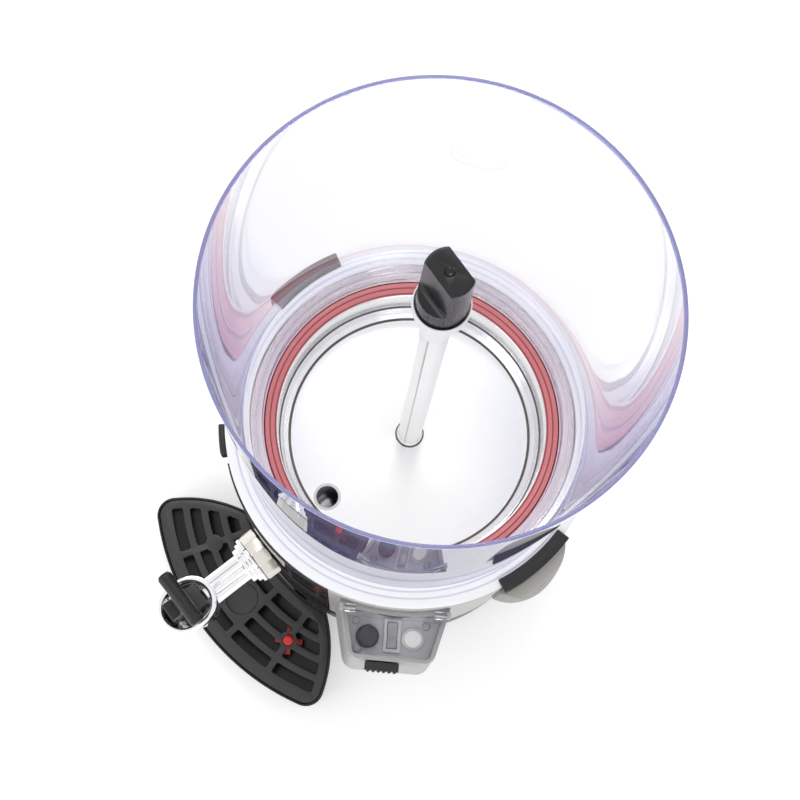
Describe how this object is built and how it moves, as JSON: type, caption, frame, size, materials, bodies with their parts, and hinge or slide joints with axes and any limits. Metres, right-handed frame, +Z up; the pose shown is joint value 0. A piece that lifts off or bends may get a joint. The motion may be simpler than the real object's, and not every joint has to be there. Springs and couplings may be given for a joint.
{
  "type": "hot chocolate dispenser",
  "caption": "Round water-bath drinks dispenser with a tall clear bowl, a centre column with a drive cap, a lever tap, a drip tray and a control box.",
  "frame": {"origin": "on the floor, on the axis of the bowl", "axes": "+Z up, -Y towards the tap"},
  "size_m": [0.242, 0.2963, 0.457],
  "materials": {
    "bowl_clear": "clear, faint violet tint",
    "cover_clear": "clear plastic",
    "steel": "satin",
    "tank_steel": "satin",
    "chrome": "polished",
    "nickel": "warm nickel",
    "shell_silver": "satin silver paint",
    "white": "gloss",
    "black_gloss": "gloss",
    "black": "satin",
    "grey_dark": "satin",
    "grey": "satin",
    "red_rubber": "soft silicone",
    "black_rubber": "matte",
    "red": "gloss",
    "lamp_white": "gloss",
    "zinc": "cast",
    "gear_white": "satin",
    "copper": "enamelled wire",
    "iron": "laminated"
  },
  "bodies": {
    "machine": {"pan": "steel", "boiler_tank": "tank_steel", "center_tube": "tank_steel", "heating_element": "tank_steel", "thermostat_bulb": "tank_steel", "tank_plug": "nickel", "safety_thermostat": "black", "tap_body": "chrome", "tap_nut": "nickel", "outlet_elbow": "tank_steel", "lever_pin": "tank_steel", "hinge_pins": "tank_steel", "plate_screws": "tank_steel", "motor_stator": "iron", "motor_coil": "copper", "motor_plate": "zinc", "plate_pillars": "zinc", "gearbox_housing": "zinc", "gearbox_cover": "zinc", "shaft_bearing": "nickel", "body_shell": "shell_silver", "handle_shell_left": "shell_silver", "handle_shell_right": "shell_silver", "control_box": "grey", "control_plate": "grey", "top_collar": "white", "column_tube": "white", "column_bush": "gear_white", "front_panel": "black_gloss", "base_ring": "black", "handle_grip_left": "black", "handle_grip_right": "black", "switch_bezel": "black", "thermostat_body": "grey_dark", "collar_clip": "black", "cord_inlet": "black", "terminal_block": "gear_white", "bowl_gasket": "red_rubber", "tap_seal": "black_rubber", "tap_washer": "black_rubber", "rubber_feet": "black_rubber", "indicator_lamp": "lamp_white"},
    "bowl": {"bowl": "bowl_clear"},
    "drive": {"drive_shaft": "tank_steel", "coupling_cap": "black", "output_gear": "gear_white"},
    "motor": {"motor_rotor": "iron", "motor_pinion": "nickel"},
    "lever": {"tap_lever": "black", "lever_spring": "tank_steel"},
    "piston": {"tap_piston": "black", "piston_seal": "black_rubber"},
    "tray": {"drip_tray": "black"},
    "grid": {"tray_grid": "grey_dark"},
    "float": {"tray_float": "red"},
    "cover": {"control_cover": "cover_clear"},
    "latch": {"cover_latch": "black"},
    "knob": {"thermostat_knob": "black"},
    "rocker": {"switch_rocker": "black"}
  },
  "joints": [
    {"name": "bowl_lift", "type": "slide", "parent": "machine", "child": "bowl", "axis": [0, 0, 1], "range_m": [0, 0.27]},
    {"name": "drive_turn", "type": "hinge", "parent": "machine", "child": "drive", "pos_m": [0, 0, 0.3], "axis": [0, 0, 1], "continuous": true},
    {"name": "motor_turn", "type": "hinge", "parent": "machine", "child": "motor", "pos_m": [0, 0.045, 0.08], "axis": [0, 0, 1], "continuous": true},
    {"name": "lever_pull", "type": "hinge", "parent": "machine", "child": "lever", "pos_m": [0, -0.172, 0.166], "axis": [1, 0, 0], "range_deg": [0, 30], "stiffness_Nm_per_rad": 0.12, "springref_deg": -22.92},
    {"name": "piston_lift", "type": "slide", "parent": "machine", "child": "piston", "axis": [0, 0, 1], "range_m": [0, 0.006]},
    {"name": "tray_pull", "type": "slide", "parent": "machine", "child": "tray", "axis": [0, -1, 0], "range_m": [0, 0.06]},
    {"name": "grid_lift", "type": "slide", "parent": "tray", "child": "grid", "axis": [0, 0, 1], "range_m": [0, 0.03]},
    {"name": "float_rise", "type": "slide", "parent": "grid", "child": "float", "axis": [0, 0, 1], "range_m": [0, 0.004]},
    {"name": "cover_open", "type": "hinge", "parent": "machine", "child": "cover", "pos_m": [0.07805, -0.07407, 0.195], "axis": [-0.6884, -0.7254, 0], "range_deg": [0, 95]},
    {"name": "latch_open", "type": "hinge", "parent": "machine", "child": "latch", "pos_m": [0.09698, -0.09823, 0.173], "axis": [0.6884, 0.7254, 0], "range_deg": [0, 15], "stiffness_Nm_per_rad": 0.05, "springref_deg": -17.19},
    {"name": "knob_turn", "type": "hinge", "parent": "machine", "child": "knob", "pos_m": [0.0785, -0.09379, 0.18], "axis": [0, 0, -1], "range_deg": [0, 270]},
    {"name": "rocker_tip", "type": "hinge", "parent": "machine", "child": "rocker", "pos_m": [0.08704, -0.0826, 0.1745], "axis": [-0.6884, -0.7254, 0], "range_deg": [0, 7]}
  ],
  "couplings": [
    {"joint": "motor_turn", "follows": "drive_turn", "ratio": -5},
    {"joint": "piston_lift", "follows": "lever_pull", "m_per_rad": 0.01139}
  ]
}
